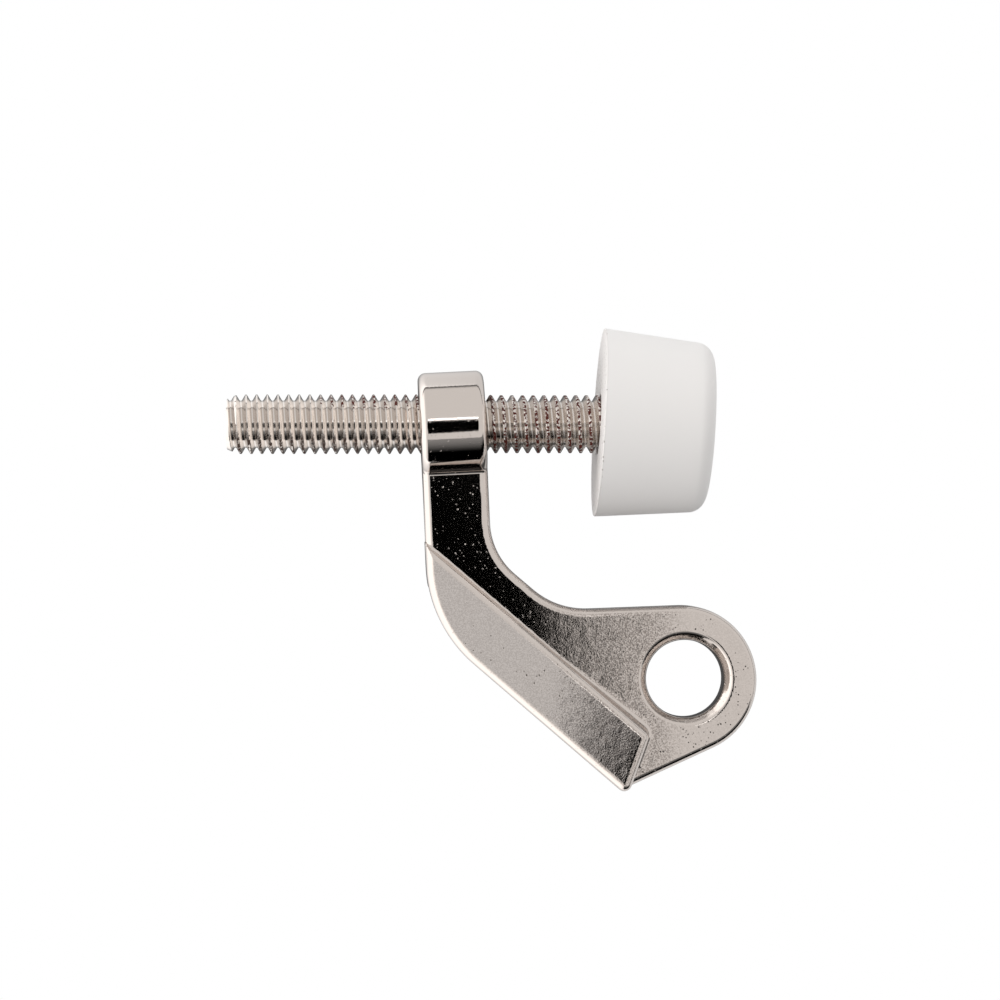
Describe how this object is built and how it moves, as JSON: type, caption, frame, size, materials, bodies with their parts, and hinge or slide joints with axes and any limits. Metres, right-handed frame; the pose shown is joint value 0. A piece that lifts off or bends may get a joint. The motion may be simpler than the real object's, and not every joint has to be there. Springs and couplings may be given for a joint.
{
  "type": "door stop",
  "caption": "Hinge-pin door stop: a plated cast lever with an eye for the hinge pin and a bearing wing, a threaded rod through its boss, and a white rubber tip on the rod's end.",
  "frame": {"origin": "the middle of the eye's hole, on the hinge pin's axis, halfway through the eye", "axes": "+Z along the hinge pin, +X along the screw towards the rubber tip, +Y from the hinge pin towards the screw"},
  "size_m": [0.0701, 0.061, 0.025],
  "materials": {
    "plated_casting": "polished",
    "plated_screw": "satin",
    "white_rubber": "matte"
  },
  "bodies": {
    "lever": {"casting": "plated_casting"},
    "tip": {"rubber_tip": "white_rubber"},
    "screw": {"threaded_rod": "plated_screw"}
  },
  "joints": [
    {"name": "tip_travel", "type": "slide", "parent": "lever", "child": "tip", "axis": [1, 0, 0], "range_m": [-0.012, 0.024]},
    {"name": "screw_turn", "type": "hinge", "parent": "tip", "child": "screw", "pos_m": [-0.0307, 0.0337, 0], "axis": [1, 0, 0], "range_deg": [-3062, 6123.5]}
  ],
  "couplings": [
    {"joint": "screw_turn", "follows": "tip_travel", "rad_per_m": 4452.7}
  ]
}
